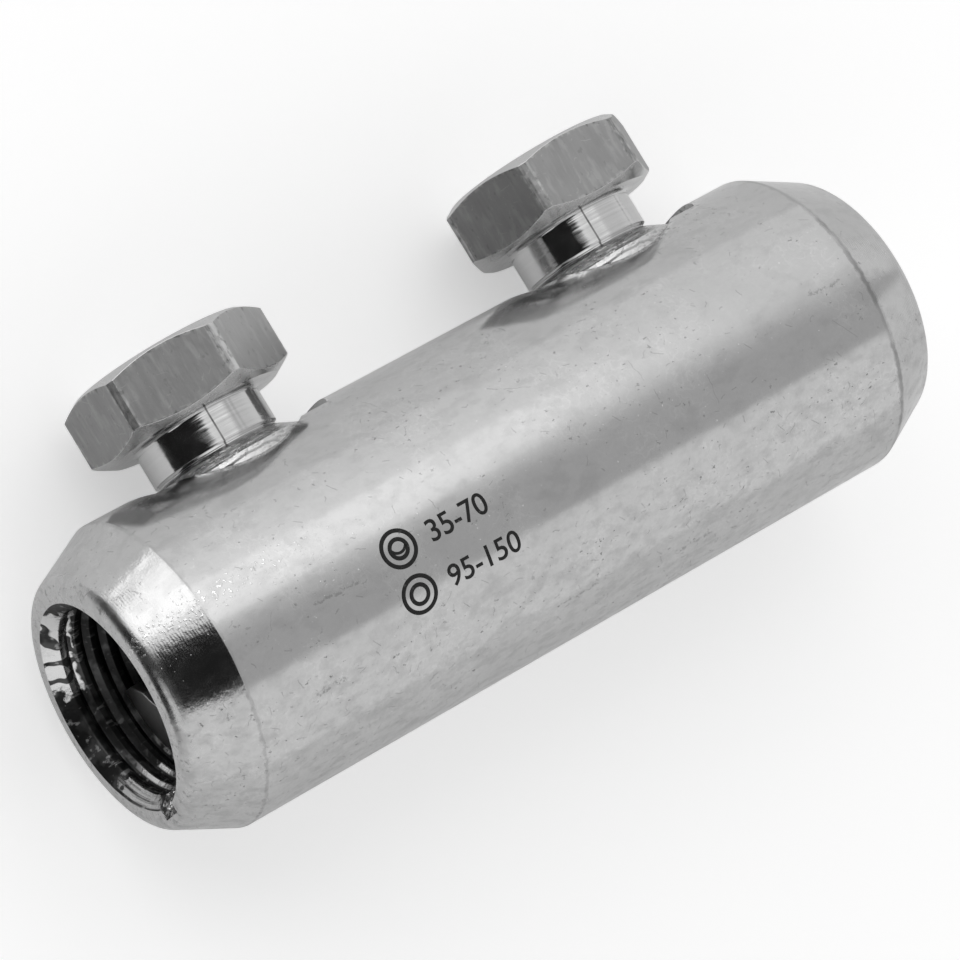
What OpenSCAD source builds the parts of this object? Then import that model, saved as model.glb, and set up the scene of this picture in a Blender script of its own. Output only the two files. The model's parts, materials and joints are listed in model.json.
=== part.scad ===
// Mechanical screw connector for power-cable conductors, in millimetres.
// A thick metal sleeve is bored from both ends. A shear-head bolt over each bore clamps the
// conductor, and a removable half-round insert narrows the bore for the smaller conductors.
//
// Each piece is drawn on the bench: the sleeve along X, the bolts pointing up, the origin on
// the sleeve's axis at its middle. The connector can't stand like that, so lay_down() tips it
// onto its side, as it comes to rest: on the sleeve and on the head of the lower bolt.

/* [Sleeve] */
// Length of the sleeve
sleeve_length = 80; // [72:1:120]
// Outside diameter of the sleeve
sleeve_diameter = 28; // [26:0.5:32]
// Length of the cone at each end
cone_length = 5.8; // [3:0.1:7]
// Outside diameter at the small end of each cone
cone_end_diameter = 22.4; // [21.5:0.1:25]
// Radius of the edge between cone and end face
end_edge_radius = 1; // [0.3:0.1:1.2]
// Thickness of the web between the two bores
web_thickness = 6; // [2:0.5:10]

/* [Bore] */
// Diameter of each bore, over the crests between its grooves
bore_diameter = 17; // [16.5:0.1:18]
// Diameter of the mouth at the end face
mouth_diameter = 18.8; // [18.2:0.1:19.4]
// Depth of the mouth's taper
mouth_depth = 1.2; // [0.4:0.1:1.5]
// Depth at which the first contact groove starts
groove_start = 1.75; // [1.6:0.05:3]
// Distance from one contact groove to the next
groove_pitch = 1.5; // [1.2:0.1:3]
// Width of a contact groove at its open side
groove_width = 1; // [0.5:0.1:1.1]
// Depth of a contact groove
groove_depth = 0.45; // [0.2:0.05:0.6]
// Width of the keyway along the foot of the bore
keyway_width = 2.8; // [2:0.1:4]
// Depth of the keyway below the bore
keyway_depth = 1.8; // [1.2:0.1:1.9]

/* [Bolt seats] */
// Distance of each bolt from the end face of the sleeve
bolt_inset = 20; // [16:0.5:23]
// Diameter of the spot face around each bolt
seat_diameter = 20.4; // [18:0.2:24]
// Depth of the spot face below the top of the sleeve
seat_depth = 1; // [0.4:0.1:1.4]

/* [Shear bolts] */
// Outside diameter of the thread
thread_diameter = 16; // [14:0.5:16]
// Length of the threaded plug, from its tip to the shear groove
plug_length = 5.6; // [4:0.1:8]
// Height of the shear groove above the top of the sleeve
shear_height = -0.4; // [-0.6:0.1:1.5]
// Height of the sloping shoulder above the thread
shoulder_height = 1.05; // [0.4:0.05:1.4]
// Chamfer at the tip of the plug
tip_chamfer = 1; // [0.3:0.1:1.5]
// Diameter of the neck
neck_diameter = 11.7; // [10:0.1:13]
// Length of the neck, from the shear groove to the head
neck_length = 3.8; // [2:0.1:6]
// Width of the shear groove
shear_groove_width = 0.5; // [0.2:0.1:1]
// Depth of the shear groove
shear_groove_depth = 0.4; // [0.1:0.1:1]
// Width of the hex head across its flats
head_flats = 16.8; // [16:0.1:19]
// Diameter to which the corners of the head are turned
head_corners = 19; // [18.4:0.1:21]
// Height of the head
head_height = 6.25; // [5:0.05:9]
// Diameter of the flat on top of the head
head_top_diameter = 16; // [14:0.1:16.8]
// Diameter of the flat under the head
head_foot_diameter = 15.8; // [14:0.1:16.8]
// Angle of the head's chamfers
head_chamfer_angle = 30; // [15:1:40]
// Turn of the left head, from a corner square to the sleeve
left_head_turn = 7.5; // [-30:0.5:30]
// Turn of the right head, from a corner square to the sleeve
right_head_turn = 27; // [-30:0.5:30]

/* [Inserts] */
// Depth of each insert's end below the end face of the sleeve
insert_depth = 5.4; // [2:0.1:10]
// Diameter of the saddle that the smaller conductors lie in
saddle_diameter = 11; // [9:0.1:11]
// Height of the saddle's axis above the axis of the sleeve
saddle_lift = 2.4; // [2:0.1:2.6]
// Height of the insert's rims above the axis of the sleeve
rim_height = 1.2; // [0:0.1:2]
// Width of the sloping edge between rim and saddle
rim_slope_width = 1.6; // [0.6:0.1:2]
// Height of the sloping edge between rim and saddle
rim_slope_height = 1.1; // [0.4:0.1:1.4]
// Chamfer around the ends of each insert
insert_chamfer = 0.4; // [0.1:0.1:0.8]

/* [Clearances] */
// Radial gap between thread and threaded hole
thread_gap = 0.05; // [0.02:0.01:0.1]
// Radial gap between insert and bore
insert_gap = 0.1; // [0.05:0.05:0.3]
// Gap between the inner end of an insert and the web
web_gap = 0.5; // [0.2:0.1:2]
// Gap on each side of the insert's key in the keyway
key_gap = 0.15; // [0.1:0.05:0.3]

/* [Hidden] */
$fn = 96;
hex_sides = 6;
overcut = 1;

sleeve_r = sleeve_diameter / 2;
half_length = sleeve_length / 2;
bore_r = bore_diameter / 2;
bore_depth = half_length - web_thickness / 2;
groove_run = bore_depth - groove_start - groove_width;
groove_count = floor(groove_run / groove_pitch) + 1;
bolt_x = half_length - bolt_inset;

thread_r = thread_diameter / 2;
neck_r = neck_diameter / 2;
shear_z = sleeve_r + shear_height;
tip_z = shear_z - plug_length;
head_foot_z = shear_z + neck_length;
head_top_z = head_foot_z + head_height;
hex_r = head_flats / 2 / cos(180 / hex_sides);
corner_r = min(head_corners / 2, hex_r);
top_chamfer_height = (corner_r - head_top_diameter / 2) * tan(head_chamfer_angle);
foot_chamfer_height = (corner_r - head_foot_diameter / 2) * tan(head_chamfer_angle);

insert_r = bore_r - insert_gap;
insert_length = bore_depth - insert_depth - web_gap;
saddle_r = saddle_diameter / 2;

// The connector rolls over until the upper rim of a head's lowest corner is level with the foot
// of the sleeve. reach is that corner's distance from the bolt's axis, towards the surface.
corner_z = head_top_z - top_chamfer_height;
corner_half_angle = 180 / hex_sides - acos(head_flats / 2 / corner_r);
function reach(turn) = corner_r * cos(max(0, abs(turn) - corner_half_angle));
function tip_angle(reach) = asin(sleeve_r / norm([corner_z, reach])) - atan2(reach, corner_z);
rest_angle = min(tip_angle(reach(left_head_turn)), tip_angle(reach(right_head_turn)));
far_side = head_top_z * cos(rest_angle) + head_top_diameter / 2 * sin(rest_angle);
rest_shift = (far_side - sleeve_r) / 2;

// Turns a piece from the bench onto its side, with the origin below the middle of the whole
module lay_down() {
    translate([0, -rest_shift, sleeve_r])
        rotate([-90 - rest_angle, 0, 0])
            children();
}

// Turns a profile of [radius, distance from the middle] about the sleeve's axis, on the right
module turn_right() {
    rotate([0, 90, 0]) rotate_extrude() children();
}

// Draws the right half as it is and the left half as its mirror image
module both_ends() {
    children();
    mirror([1, 0, 0]) children();
}

// Outer profile of half a sleeve: straight side, cone, rounded edge, flat end
module sleeve_profile() {
    cone_end_r = cone_end_diameter / 2;
    cone = [sleeve_r - cone_end_r, -cone_length];
    edge_angle = acos(-cone[0] / norm(cone));
    tangent = end_edge_radius / tan(edge_angle / 2);
    on_cone = [cone_end_r, half_length] + tangent * cone / norm(cone);
    on_end = [cone_end_r - tangent, half_length];
    polygon([
        [0, 0], [sleeve_r, 0], [sleeve_r, half_length - cone_length], on_cone, on_end, [0, half_length]
    ]);
    translate(on_end - [0, end_edge_radius]) circle(end_edge_radius);
}

// Profile of what is bored out of half a sleeve: tapered mouth and V grooves for contact
module bore_profile() {
    function at(depth) = half_length - depth;
    grooves = [
        for (i = [0 : groove_count - 1])
            let (start = groove_start + i * groove_pitch)
                each [
                    [bore_r, at(start)],
                    [bore_r + groove_depth, at(start + groove_width / 2)],
                    [bore_r, at(start + groove_width)]
                ]
    ];
    mouth_r = mouth_diameter / 2;
    polygon(concat(
        [[0, at(-overcut)], [mouth_r, at(-overcut)], [mouth_r, at(0)], [bore_r, at(mouth_depth)]],
        grooves,
        [[bore_r, at(bore_depth)], [0, at(bore_depth)]]
    ));
}

// Slot along the foot of the right bore, for the key of the insert
module keyway() {
    translate([half_length - bore_depth, -keyway_width / 2, -bore_r - keyway_depth])
        cube([bore_depth + overcut, keyway_width, keyway_depth + bore_r / 2]);
}

// Spot face and threaded hole for the right bolt
module bolt_seat() {
    translate([bolt_x, 0, sleeve_r - seat_depth])
        cylinder(d = seat_diameter, h = seat_depth + overcut);
    translate([bolt_x, 0, 0]) cylinder(r = thread_r, h = sleeve_r + overcut);
}

module connector_body() {
    color([0.76, 0.76, 0.77]) lay_down() difference() {
        both_ends() turn_right() sleeve_profile();
        both_ends() {
            turn_right() bore_profile();
            keyway();
            bolt_seat();
        }
    }
}

// Turned form of a bolt up to the head: chamfered tip, plug, shoulder, shear groove and neck
module shank_profile() {
    plug_r = thread_r - thread_gap;
    shoulder_z = shear_z - shoulder_height;
    groove_mid = [neck_r - shear_groove_depth, shear_z + shear_groove_width / 2];
    polygon([
        [0, tip_z],
        [plug_r - tip_chamfer, tip_z],
        [plug_r, tip_z + tip_chamfer],
        [plug_r, shoulder_z],
        [neck_r, shear_z],
        groove_mid,
        [neck_r, shear_z + shear_groove_width],
        [neck_r, head_foot_z + head_height / 2],
        [0, head_foot_z + head_height / 2]
    ]);
}

// Turned form that a hex bar is cut to for the head: a chamfer at the foot and one on top
module head_profile() {
    polygon([
        [0, head_foot_z],
        [head_foot_diameter / 2, head_foot_z],
        [corner_r, head_foot_z + foot_chamfer_height],
        [corner_r, corner_z],
        [head_top_diameter / 2, head_top_z],
        [0, head_top_z]
    ]);
}

// A shear-head bolt on its own axis, one corner of its head turned from -Y by the given angle
module shear_bolt(turn) {
    color([0.62, 0.62, 0.62]) {
        rotate_extrude() shank_profile();
        intersection() {
            rotate_extrude() head_profile();
            rotate([0, 0, turn - 90])
                translate([0, 0, head_foot_z]) cylinder(r = hex_r, h = head_height, $fn = hex_sides);
        }
    }
}

module shear_bolt_left() {
    lay_down() translate([-bolt_x, 0, 0]) shear_bolt(left_head_turn);
}

module shear_bolt_right() {
    lay_down() translate([bolt_x, 0, 0]) shear_bolt(right_head_turn);
}

// Section of an insert: a round back, two rims, sloping edges and a saddle
module insert_section() {
    slope_foot = rim_height - rim_slope_height;
    slope_in = sqrt(pow(saddle_r, 2) - pow(saddle_lift - slope_foot, 2));
    slope_out = slope_in + rim_slope_width;
    difference() {
        circle(insert_r);
        translate([0, saddle_lift]) circle(saddle_r);
        polygon([
            [-slope_out, rim_height], [-slope_in, slope_foot], [slope_in, slope_foot], [slope_out, rim_height]
        ]);
        translate([-sleeve_r, rim_height]) square([2 * sleeve_r, sleeve_r]);
    }
}

// Round bar with chamfered ends that the back of an insert is turned from
module insert_bar() {
    rotate_extrude() polygon([
        [0, 0],
        [insert_r - insert_chamfer, 0],
        [insert_r, insert_chamfer],
        [insert_r, insert_length - insert_chamfer],
        [insert_r - insert_chamfer, insert_length],
        [0, insert_length]
    ]);
}

// The insert's key, which keeps it from turning in the bore
module insert_key() {
    key_width = keyway_width - 2 * key_gap;
    key_depth = keyway_depth - key_gap;
    translate([-key_width / 2, -bore_r - key_depth]) square([key_width, key_depth + bore_r / 8]);
}

// The right insert on the bench, with its key
module insert() {
    color([0.66, 0.66, 0.67]) translate([half_length - bore_depth + web_gap, 0, 0]) rotate([90, 0, 90]) {
        intersection() {
            linear_extrude(insert_length) insert_section();
            insert_bar();
        }
        translate([0, 0, insert_chamfer]) linear_extrude(insert_length - 2 * insert_chamfer) insert_key();
    }
}

module insert_left() {
    lay_down() mirror([1, 0, 0]) insert();
}

module insert_right() {
    lay_down() insert();
}

connector_body();
shear_bolt_left();
shear_bolt_right();
insert_left();
insert_right();
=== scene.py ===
# %% [markdown]
# # A mechanical screw connector
# Two power cables are joined end to end in a thick tin-plated sleeve. A shear-head bolt over each
# bore clamps the conductor, and a half-round insert in each bore fits it to the thinner ones.
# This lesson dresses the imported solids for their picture: the light, the camera, then each piece
# as a mesh with small round edges, and the finish of each metal.

# %% Load the frame
import json
import math
import bmesh
import bpy
import numpy as np
from mathutils import Matrix, Vector


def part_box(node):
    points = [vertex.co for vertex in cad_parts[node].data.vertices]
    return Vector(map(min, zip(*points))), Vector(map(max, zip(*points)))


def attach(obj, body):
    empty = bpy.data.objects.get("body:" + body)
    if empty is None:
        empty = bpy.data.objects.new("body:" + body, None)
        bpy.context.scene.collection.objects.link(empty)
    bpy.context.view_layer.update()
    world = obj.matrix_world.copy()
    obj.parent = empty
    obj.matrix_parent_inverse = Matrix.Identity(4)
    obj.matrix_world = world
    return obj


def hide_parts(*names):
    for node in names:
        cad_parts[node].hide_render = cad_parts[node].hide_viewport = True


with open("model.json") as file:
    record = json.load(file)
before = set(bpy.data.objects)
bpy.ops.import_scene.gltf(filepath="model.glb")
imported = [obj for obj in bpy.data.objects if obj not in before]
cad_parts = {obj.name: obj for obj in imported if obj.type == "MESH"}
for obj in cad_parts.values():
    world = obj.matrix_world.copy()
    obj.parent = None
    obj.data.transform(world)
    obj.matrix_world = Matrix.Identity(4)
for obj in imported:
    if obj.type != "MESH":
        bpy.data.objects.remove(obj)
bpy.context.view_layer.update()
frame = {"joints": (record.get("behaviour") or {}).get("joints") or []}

# %% [markdown]
# ## The bench
# The connector rests on its side, tipped onto one bolt head, which is awkward to measure in. So the
# pieces are drawn on a bench, in millimetres: the sleeve along X, the bolts along Z, the origin in
# the middle of the sleeve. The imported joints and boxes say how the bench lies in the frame, and one
# matrix carries every point there, in metres.

# %% From bench to frame
MM = 0.001
low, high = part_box("connector_body")
sleeve_axis = Vector((1, 0, 0))
bolt_axis = Vector(frame["joints"][0]["axis"]).normalized()
side_axis = bolt_axis.cross(sleeve_axis)
bench_turn = Matrix((sleeve_axis, side_axis, bolt_axis)).transposed()
bench_origin = (low + high) / 2
BENCH = Matrix.Translation(bench_origin) @ bench_turn.to_4x4() @ Matrix.Scale(MM, 4)

HALF_LENGTH = (high.x - low.x) / 2 / MM
SLEEVE_R = (high.z - low.z) / 2 / MM
bolt_low, bolt_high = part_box("shear_bolt_right")
BOLT_X = (bolt_low.x + bolt_high.x) / 2 / MM
print("half length", round(HALF_LENGTH, 3), "radius", round(SLEEVE_R, 3), "bolts at", round(BOLT_X, 3))

# %% [markdown]
# ## The camera
# A long lens from above and from the left end, rolled so that the sleeve climbs to the right. The
# numbers come from lining up the sleeve's outline, its end circles and the corners of the heads.

# %% Place the camera
VIEW_AZIMUTH = 166.92
VIEW_ELEVATION = 62.43
VIEW_ROLL = 75.80
VIEW_DISTANCE = 0.4428
VIEW_AIM = Vector((-0.18, -3.83, 13.72)) * MM
LENS = 195.9
SENSOR = 36.0
NEAREST = 0.01


def direction(azimuth, elevation):
    """The unit vector at an angle round from +X and an angle above the floor, in degrees."""
    a, e = math.radians(azimuth), math.radians(elevation)
    return Vector((math.cos(e) * math.cos(a), math.cos(e) * math.sin(a), math.sin(e)))


def put(name, data):
    """A new object in the scene."""
    made = bpy.data.objects.new(name, data)
    bpy.context.collection.objects.link(made)
    return made


def stand(thing, aim, azimuth, elevation, distance, roll=0.0):
    """Stands a camera or a lamp off from a point, facing it and rolled by an angle in degrees."""
    away = direction(azimuth, elevation)
    facing = (-away).to_track_quat("-Z", "Y").to_matrix() @ Matrix.Rotation(math.radians(roll), 3, "Z")
    thing.matrix_world = Matrix.Translation(aim + away * distance) @ facing.to_4x4()


camera = put("camera", bpy.data.cameras.new("camera"))
camera.data.lens = LENS
camera.data.sensor_width = SENSOR
camera.data.clip_start = NEAREST
stand(camera, VIEW_AIM, VIEW_AZIMUTH, VIEW_ELEVATION, VIEW_DISTANCE, VIEW_ROLL)
bpy.context.scene.camera = camera
bpy.context.scene.view_settings.view_transform = "Standard"
print("camera at", [round(v, 4) for v in camera.matrix_world.translation])

# %% [markdown]
# ## Writing shaders as sums
# A finish is mostly arithmetic on coordinates and noise. Wired by hand it soon turns into a tangle,
# so one small class wraps a socket and lets Python's own operators add the Math nodes. Everything
# that isn't arithmetic comes from its one method, node().

# %% A socket to reckon with
DEGREE = 180 / math.pi


class Wire:
    """A socket of a node tree. Operators on it add Math nodes; node() adds any other."""

    def __init__(self, tree, socket=None):
        self.tree = tree
        self.socket = socket

    def node(self, kind, settings, sockets, *outputs):
        """A node of that kind: its settings, then its sockets' values or links. Gives its outputs."""
        made = self.tree.nodes.new("ShaderNode" + kind)
        for name, value in settings.items():
            setattr(made, name, value)
        for name, value in sockets.items():
            if isinstance(value, Wire):
                self.tree.links.new(value.socket, made.inputs[name])
            else:
                made.inputs[name].default_value = value
        wires = [Wire(self.tree, made.outputs[name]) for name in outputs or (0,)] if made.outputs else [None]
        return wires[0] if len(wires) == 1 else wires

    def math(self, operation, *values):
        return self.node("Math", {"operation": operation}, dict(enumerate(values)))

    def __add__(self, other):
        return self.math("ADD", self, other)

    def __sub__(self, other):
        return self.math("SUBTRACT", self, other)

    def __rsub__(self, other):
        return self.math("SUBTRACT", other, self)

    def __mul__(self, other):
        return self.math("MULTIPLY", self, other)

    def __truediv__(self, other):
        return self.math("DIVIDE", self, other)

    def __gt__(self, other):
        return self.math("GREATER_THAN", self, other)

    def __lt__(self, other):
        return self.math("LESS_THAN", self, other)

    def __abs__(self):
        return self.math("ABSOLUTE", self)

    __radd__ = __add__
    __rmul__ = __mul__

    def most(self, *others):
        """The greatest of this wire and the others."""
        greatest = self
        for other in others:
            greatest = self.math("MAXIMUM", greatest, other)
        return greatest

    def hypot(self, other):
        """The distance from the origin to the flat place (this, other)."""
        return self.math("SQRT", self * self + other * other)

    def turn(self, other):
        """The angle of the flat place (other, this) round the origin, in degrees."""
        return self.math("ARCTAN2", self, other) * DEGREE

    def smooth(self, start, end):
        """0 before start, 1 after end, and a soft step between; start may be the greater."""
        sockets = {"Value": self, "From Min": start, "From Max": end}
        return self.node("MapRange", {"interpolation_type": "SMOOTHSTEP"}, sockets)

    def by(self, other):
        """The flat place (this, other), as a vector."""
        return self.node("CombineXYZ", {}, {0: self, 1: other})

    def vector(self, operation, other, output=0):
        return self.node("VectorMath", {"operation": operation}, {0: self, 1: other}, output)

    def parts(self):
        return self.node("SeparateXYZ", {}, {0: self}, 0, 1, 2)

    def between(self, first, second):
        """A colour from the first to the second, mixed by this wire."""
        return self.node("Mix", {"data_type": "RGBA"}, {0: self, 6: first, 7: second}, 2)


def grey(level):
    return (level, level, level, 1.0)


print("sums on wires: + - * / > < abs")

# %% [markdown]
# ## The studio
# Polished metal shows what stands round it, so the studio is half of its look. Here it is a pale
# tent with a gap in its roof, over the right end, and a dark side where the camera stands: that
# dark side is the black in the necks and on the left cone. A key softbox stands at the left, with a
# low panel at its foot, and another softbox hangs over the far side of the sleeve.
#
# Each patch of the tent has soft edges. An edge is a pair: where the patch starts and where it is
# whole. It is in degrees, or along the sleeve in shares of the way to the right.

# %% The tent round the object
TENT = 0.86
ROOF_GAP = 0.52
GAP_NEAR = (-29.5, -26.5)
GAP_FAR = (35.0, 1.0)
GAP_LEFT = (-0.3, 0.1)
FAR_GLOW = 0.33
GLOW_NEAR = (2.0, 36.0)
GLOW_FAR = (96.0, 44.0)
GLOW_RIGHT = (0.55, 0.36)
RIGHT_SHADE = 0.05
SHADE_LEFT = (0.6, 0.9)
CAMERA_SIDE = 0.015
COLUMN_AZIMUTH = 160.0
COLUMN_SIDES = (23.0, 17.0)
COLUMN_TOP = (66.0, 62.0)
HOOD_AZIMUTH = 183.0
HOOD_ELEVATION = 61.0
HOOD_RIM = (25.5, 19.5)

studio = bpy.data.worlds.new("studio")
bpy.context.scene.world = studio
studio.use_nodes = True
studio.node_tree.nodes.clear()
pen = Wire(studio.node_tree)
towards = pen.node("TexCoord", {}, {}, "Generated")
right, far, up = towards.parts()
across = far.turn(up)
roof_gap = across.smooth(*GAP_NEAR) * across.smooth(*GAP_FAR) * right.smooth(*GAP_LEFT)
far_glow = across.smooth(*GLOW_NEAR) * across.smooth(*GLOW_FAR) * right.smooth(*GLOW_RIGHT)
right_shade = right.smooth(*SHADE_LEFT)
off_column = abs(far.turn(right * -1) - (180 - COLUMN_AZIMUTH))
height = pen.math("ARCSINE", up) * DEGREE
column = off_column.smooth(*COLUMN_SIDES) * height.smooth(*COLUMN_TOP)
hood_turn = towards.vector("DOT_PRODUCT", direction(HOOD_AZIMUTH, HOOD_ELEVATION), "Value")
hood = hood_turn.smooth(*(math.cos(math.radians(angle)) for angle in HOOD_RIM))
level = TENT - roof_gap * (TENT - ROOF_GAP) + far_glow * FAR_GLOW - right_shade * RIGHT_SHADE
level = level - column.most(hood) * (level - CAMERA_SIDE)
backdrop = pen.node("Background", {}, {"Color": grey(1.0), "Strength": level})
pen.node("OutputWorld", {}, {"Surface": backdrop})
print("tent", TENT, "roof gap", ROOF_GAP, "camera side", CAMERA_SIDE)

# %% The softboxes
SOFTBOX_DISTANCE = 0.65


def softbox(name, azimuth, elevation, width, depth, brightness):
    """A softbox that faces the middle of the object. Its power follows from how bright it looks."""
    lamp = bpy.data.lights.new(name, "AREA")
    lamp.shape = "RECTANGLE"
    lamp.size = width
    lamp.size_y = depth
    lamp.energy = brightness * math.pi * width * depth
    box = put(name, lamp)
    stand(box, bench_origin, azimuth, elevation, SOFTBOX_DISTANCE)
    box.visible_camera = False
    print(name, "at", [round(v, 2) for v in box.matrix_world.translation], "power", round(lamp.energy, 2))


softbox("key_softbox", azimuth=118, elevation=27, width=0.30, depth=0.41, brightness=0.58)
softbox("key_foot", azimuth=110, elevation=3.6, width=0.34, depth=0.06, brightness=0.85)
softbox("far_softbox", azimuth=86, elevation=53, width=0.62, depth=0.34, brightness=0.25)

# %% [markdown]
# ## The floor
# A white floor that still takes the shadow: most of its white is diffuse paint, which the object
# shades, and the rest is a glow for the rays that look at it, straight or, more weakly, in the metal,
# where the shadow close to the piece counts for more.

# %% Lay the floor
FLOOR_HALF = 3.0
FLOOR_PAINT = 0.80
FLOOR_GLOW = 0.42
MIRRORED_GLOW = 0.14


def new_finish(name):
    """A material with an empty node tree, and the wire that writes on it."""
    material = bpy.data.materials.new(name)
    material.use_nodes = True
    material.node_tree.nodes.clear()
    return material, Wire(material.node_tree)


def studio_piece(name, points, faces, finish):
    """Something that stands in the studio and is no part of the object."""
    mesh = bpy.data.meshes.new(name)
    mesh.from_pydata(points, [], faces)
    mesh.materials.append(finish)
    return put(name, mesh)


white_floor, pen = new_finish("white_floor")
is_camera, is_glossy, is_passed = pen.node(
    "LightPath", {}, {}, "Is Camera Ray", "Is Glossy Ray", "Is Transmission Ray"
)
seen_glow = is_camera * FLOOR_GLOW + is_glossy.most(is_passed) * MIRRORED_GLOW
paint = pen.node("BsdfDiffuse", {}, {"Color": grey(FLOOR_PAINT)})
glow = pen.node("Emission", {}, {"Color": grey(1.0), "Strength": seen_glow})
both = pen.node("AddShader", {}, {0: paint, 1: glow})
pen.node("OutputMaterial", {}, {"Surface": both})

corners = [(x * FLOOR_HALF, y * FLOOR_HALF, 0) for x, y in ((-1, -1), (1, -1), (1, 1), (-1, 1))]
floor = studio_piece("floor", corners, [(0, 1, 2, 3)], white_floor)
print("floor", 2 * FLOOR_HALF, "m wide")

# %% [markdown]
# ## The dark card
# A photographer stands a dark card beside bright metal to give its edges a line. This one curves
# round the left end, between the tent and the floor. Only mirrored rays meet it: it is out of the
# picture and throws no shadow.

# %% Stand the dark card
CARD_GREY = 0.02
CARD_DISTANCE = 0.085
CARD_HEIGHT = 0.036
CARD_START = 138
CARD_END = 195
CARD_STEPS = 12

dark_card, pen = new_finish("dark_card")
pen.node("OutputMaterial", {}, {"Surface": pen.node("BsdfDiffuse", {}, {"Color": grey(CARD_GREY)})})
foot = [direction(a, 0) * CARD_DISTANCE for a in np.linspace(CARD_START, CARD_END, CARD_STEPS + 1)]
top = [p + Vector((0, 0, CARD_HEIGHT)) for p in foot]
card_faces = [(i, i + 1, i + CARD_STEPS + 2, i + CARD_STEPS + 1) for i in range(CARD_STEPS)]
card = studio_piece("dark_card", foot + top, card_faces, dark_card)
card.visible_camera = False
card.visible_diffuse = False
card.visible_shadow = False
print("dark card of", len(card_faces), "panes")

# %% [markdown]
# ## Lines with round corners
# Every edge on a real part is a little round, and that roundness is what catches the light. The
# pieces here are drawn as lines of corners, each with its own small radius, which one function
# turns into arcs. Turned and swept pieces then carry their round edges with them.

# %% Round the corners of a line
ARC_STEPS = 4


def unit(vector):
    return vector / np.linalg.norm(vector)


def rounded(corners, closed=False, steps=ARC_STEPS):
    """Points along a line of corners (u, v, radius), with an arc at each corner that has a radius."""
    count = len(corners)
    points = []
    for i, (u, v, radius) in enumerate(corners):
        here = np.array((u, v))
        if radius == 0 or (not closed and i in (0, count - 1)):
            points.append(here)
            continue
        before = unit(np.array(corners[i - 1][:2]) - here)
        after = unit(np.array(corners[(i + 1) % count][:2]) - here)
        inward = unit(before + after)
        sideways = unit(after - before)
        half = math.acos(np.clip(before @ after, -1, 1)) / 2
        middle = here + inward * radius / math.sin(half)
        sweep = math.pi - 2 * half
        for step in range(steps + 1):
            turn = (step / steps - 0.5) * sweep
            points.append(middle + radius * (sideways * math.sin(turn) - inward * math.cos(turn)))
    return np.array(points)


def on_circle(turns):
    """Points on the unit circle, at angles in radians."""
    return np.stack([np.cos(turns), np.sin(turns)], 1)


def arc(centre, radius, start, end, steps):
    """Points on an arc, by its angles in degrees."""
    return np.array(centre) + radius * on_circle(np.radians(np.linspace(start, end, steps + 1)))


sample = rounded([(0, 0, 0), (1, 0, 0.2), (1, 1, 0)])
print("a right angle with an arc has", len(sample), "points")

# %% [markdown]
# ## Meshes from rings
# A turned piece is its profile, repeated round an axis, and a swept piece is its section, repeated
# along one. Both are rows of points joined by quads, so they share the code that joins them.

# %% Join rows of points


def even_turns(steps):
    """Angles in radians, evenly round a circle."""
    return np.arange(steps) * 2 * math.pi / steps


def ring_faces(rows, columns):
    """Quads between rows of points that close round on themselves."""
    r, c = np.meshgrid(np.arange(rows - 1), np.arange(columns), indexing="ij")
    here = (r * columns + c).ravel()
    beside = (r * columns + (c + 1) % columns).ravel()
    return np.stack([here, beside, beside + columns, here + columns], 1).tolist()


def closed_rings(rings, first_point, last_point):
    """A closed mesh from rings of points, with a fan of triangles to a point at each end."""
    rows, columns, _ = rings.shape
    points = np.concatenate([rings.reshape(-1, 3), [first_point, last_point]])
    faces = ring_faces(rows, columns)
    first, last = rows * columns, rows * columns + 1
    top = (rows - 1) * columns
    for c in range(columns):
        beside = (c + 1) % columns
        faces.append((first, beside, c))
        faces.append((last, top + c, top + beside))
    return points, faces


def turned(profile, steps):
    """A profile of (along, radius), from axis to axis, turned about the bench's X."""
    turns = even_turns(steps)
    along, radius = profile[1:-1, 0], profile[1:-1, 1]
    rings = np.stack([
        np.repeat(along[:, None], steps, 1),
        -radius[:, None] * np.cos(turns),
        radius[:, None] * np.sin(turns),
    ], 2)
    return closed_rings(rings, (profile[0, 0], 0, 0), (profile[-1, 0], 0, 0))


print("rings of 3 rows and 8 points give", len(ring_faces(3, 8)), "quads")

# %% From the bench to the frame


def bench_object(name, points, faces):
    """An object still in bench millimetres, with its faces turned outwards."""
    mesh = bpy.data.meshes.new(name)
    mesh.from_pydata(np.asarray(points).tolist(), [], faces)
    work = bmesh.new()
    work.from_mesh(mesh)
    bmesh.ops.recalc_face_normals(work, faces=work.faces)
    work.to_mesh(mesh)
    work.free()
    return put(name, mesh)


def dress(piece, body, finishes, finish_of_face=None):
    """Carries a piece from bench to frame, gives its faces their finishes and lets it ride."""
    mesh = piece.data
    mesh.transform(BENCH)
    mesh.materials.clear()
    for finish in finishes:
        mesh.materials.append(finish)
    if finish_of_face is not None:
        mesh.polygons.foreach_set("material_index", finish_of_face)
    mesh.polygons.foreach_set("use_smooth", [True] * len(mesh.polygons))
    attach(piece, body)
    print(piece.name, len(mesh.polygons), "faces, rides on", body)


print("a millimetre on the bench is", MM, "m in the frame")

# %% [markdown]
# ## The plated sleeve
# The sleeve is turned from bar: a straight side, a cone at each end and a round edge to the end
# face. Two grooved bores, a keyway along the foot of each, a spot face under each bolt and the
# bolt holes are cut from it. The cuts are booleans, because that is how the real one is made. The
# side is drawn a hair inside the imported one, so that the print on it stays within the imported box.

# %% The line of the outside
CONE_LENGTH = 5.8
CONE_END_R = 11.2
CONE_EDGE = 0.25
PRINT_DEPTH = 0.012
END_EDGE = 1.6
END_STEPS = 8
SIDE_STEPS = 24

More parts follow.
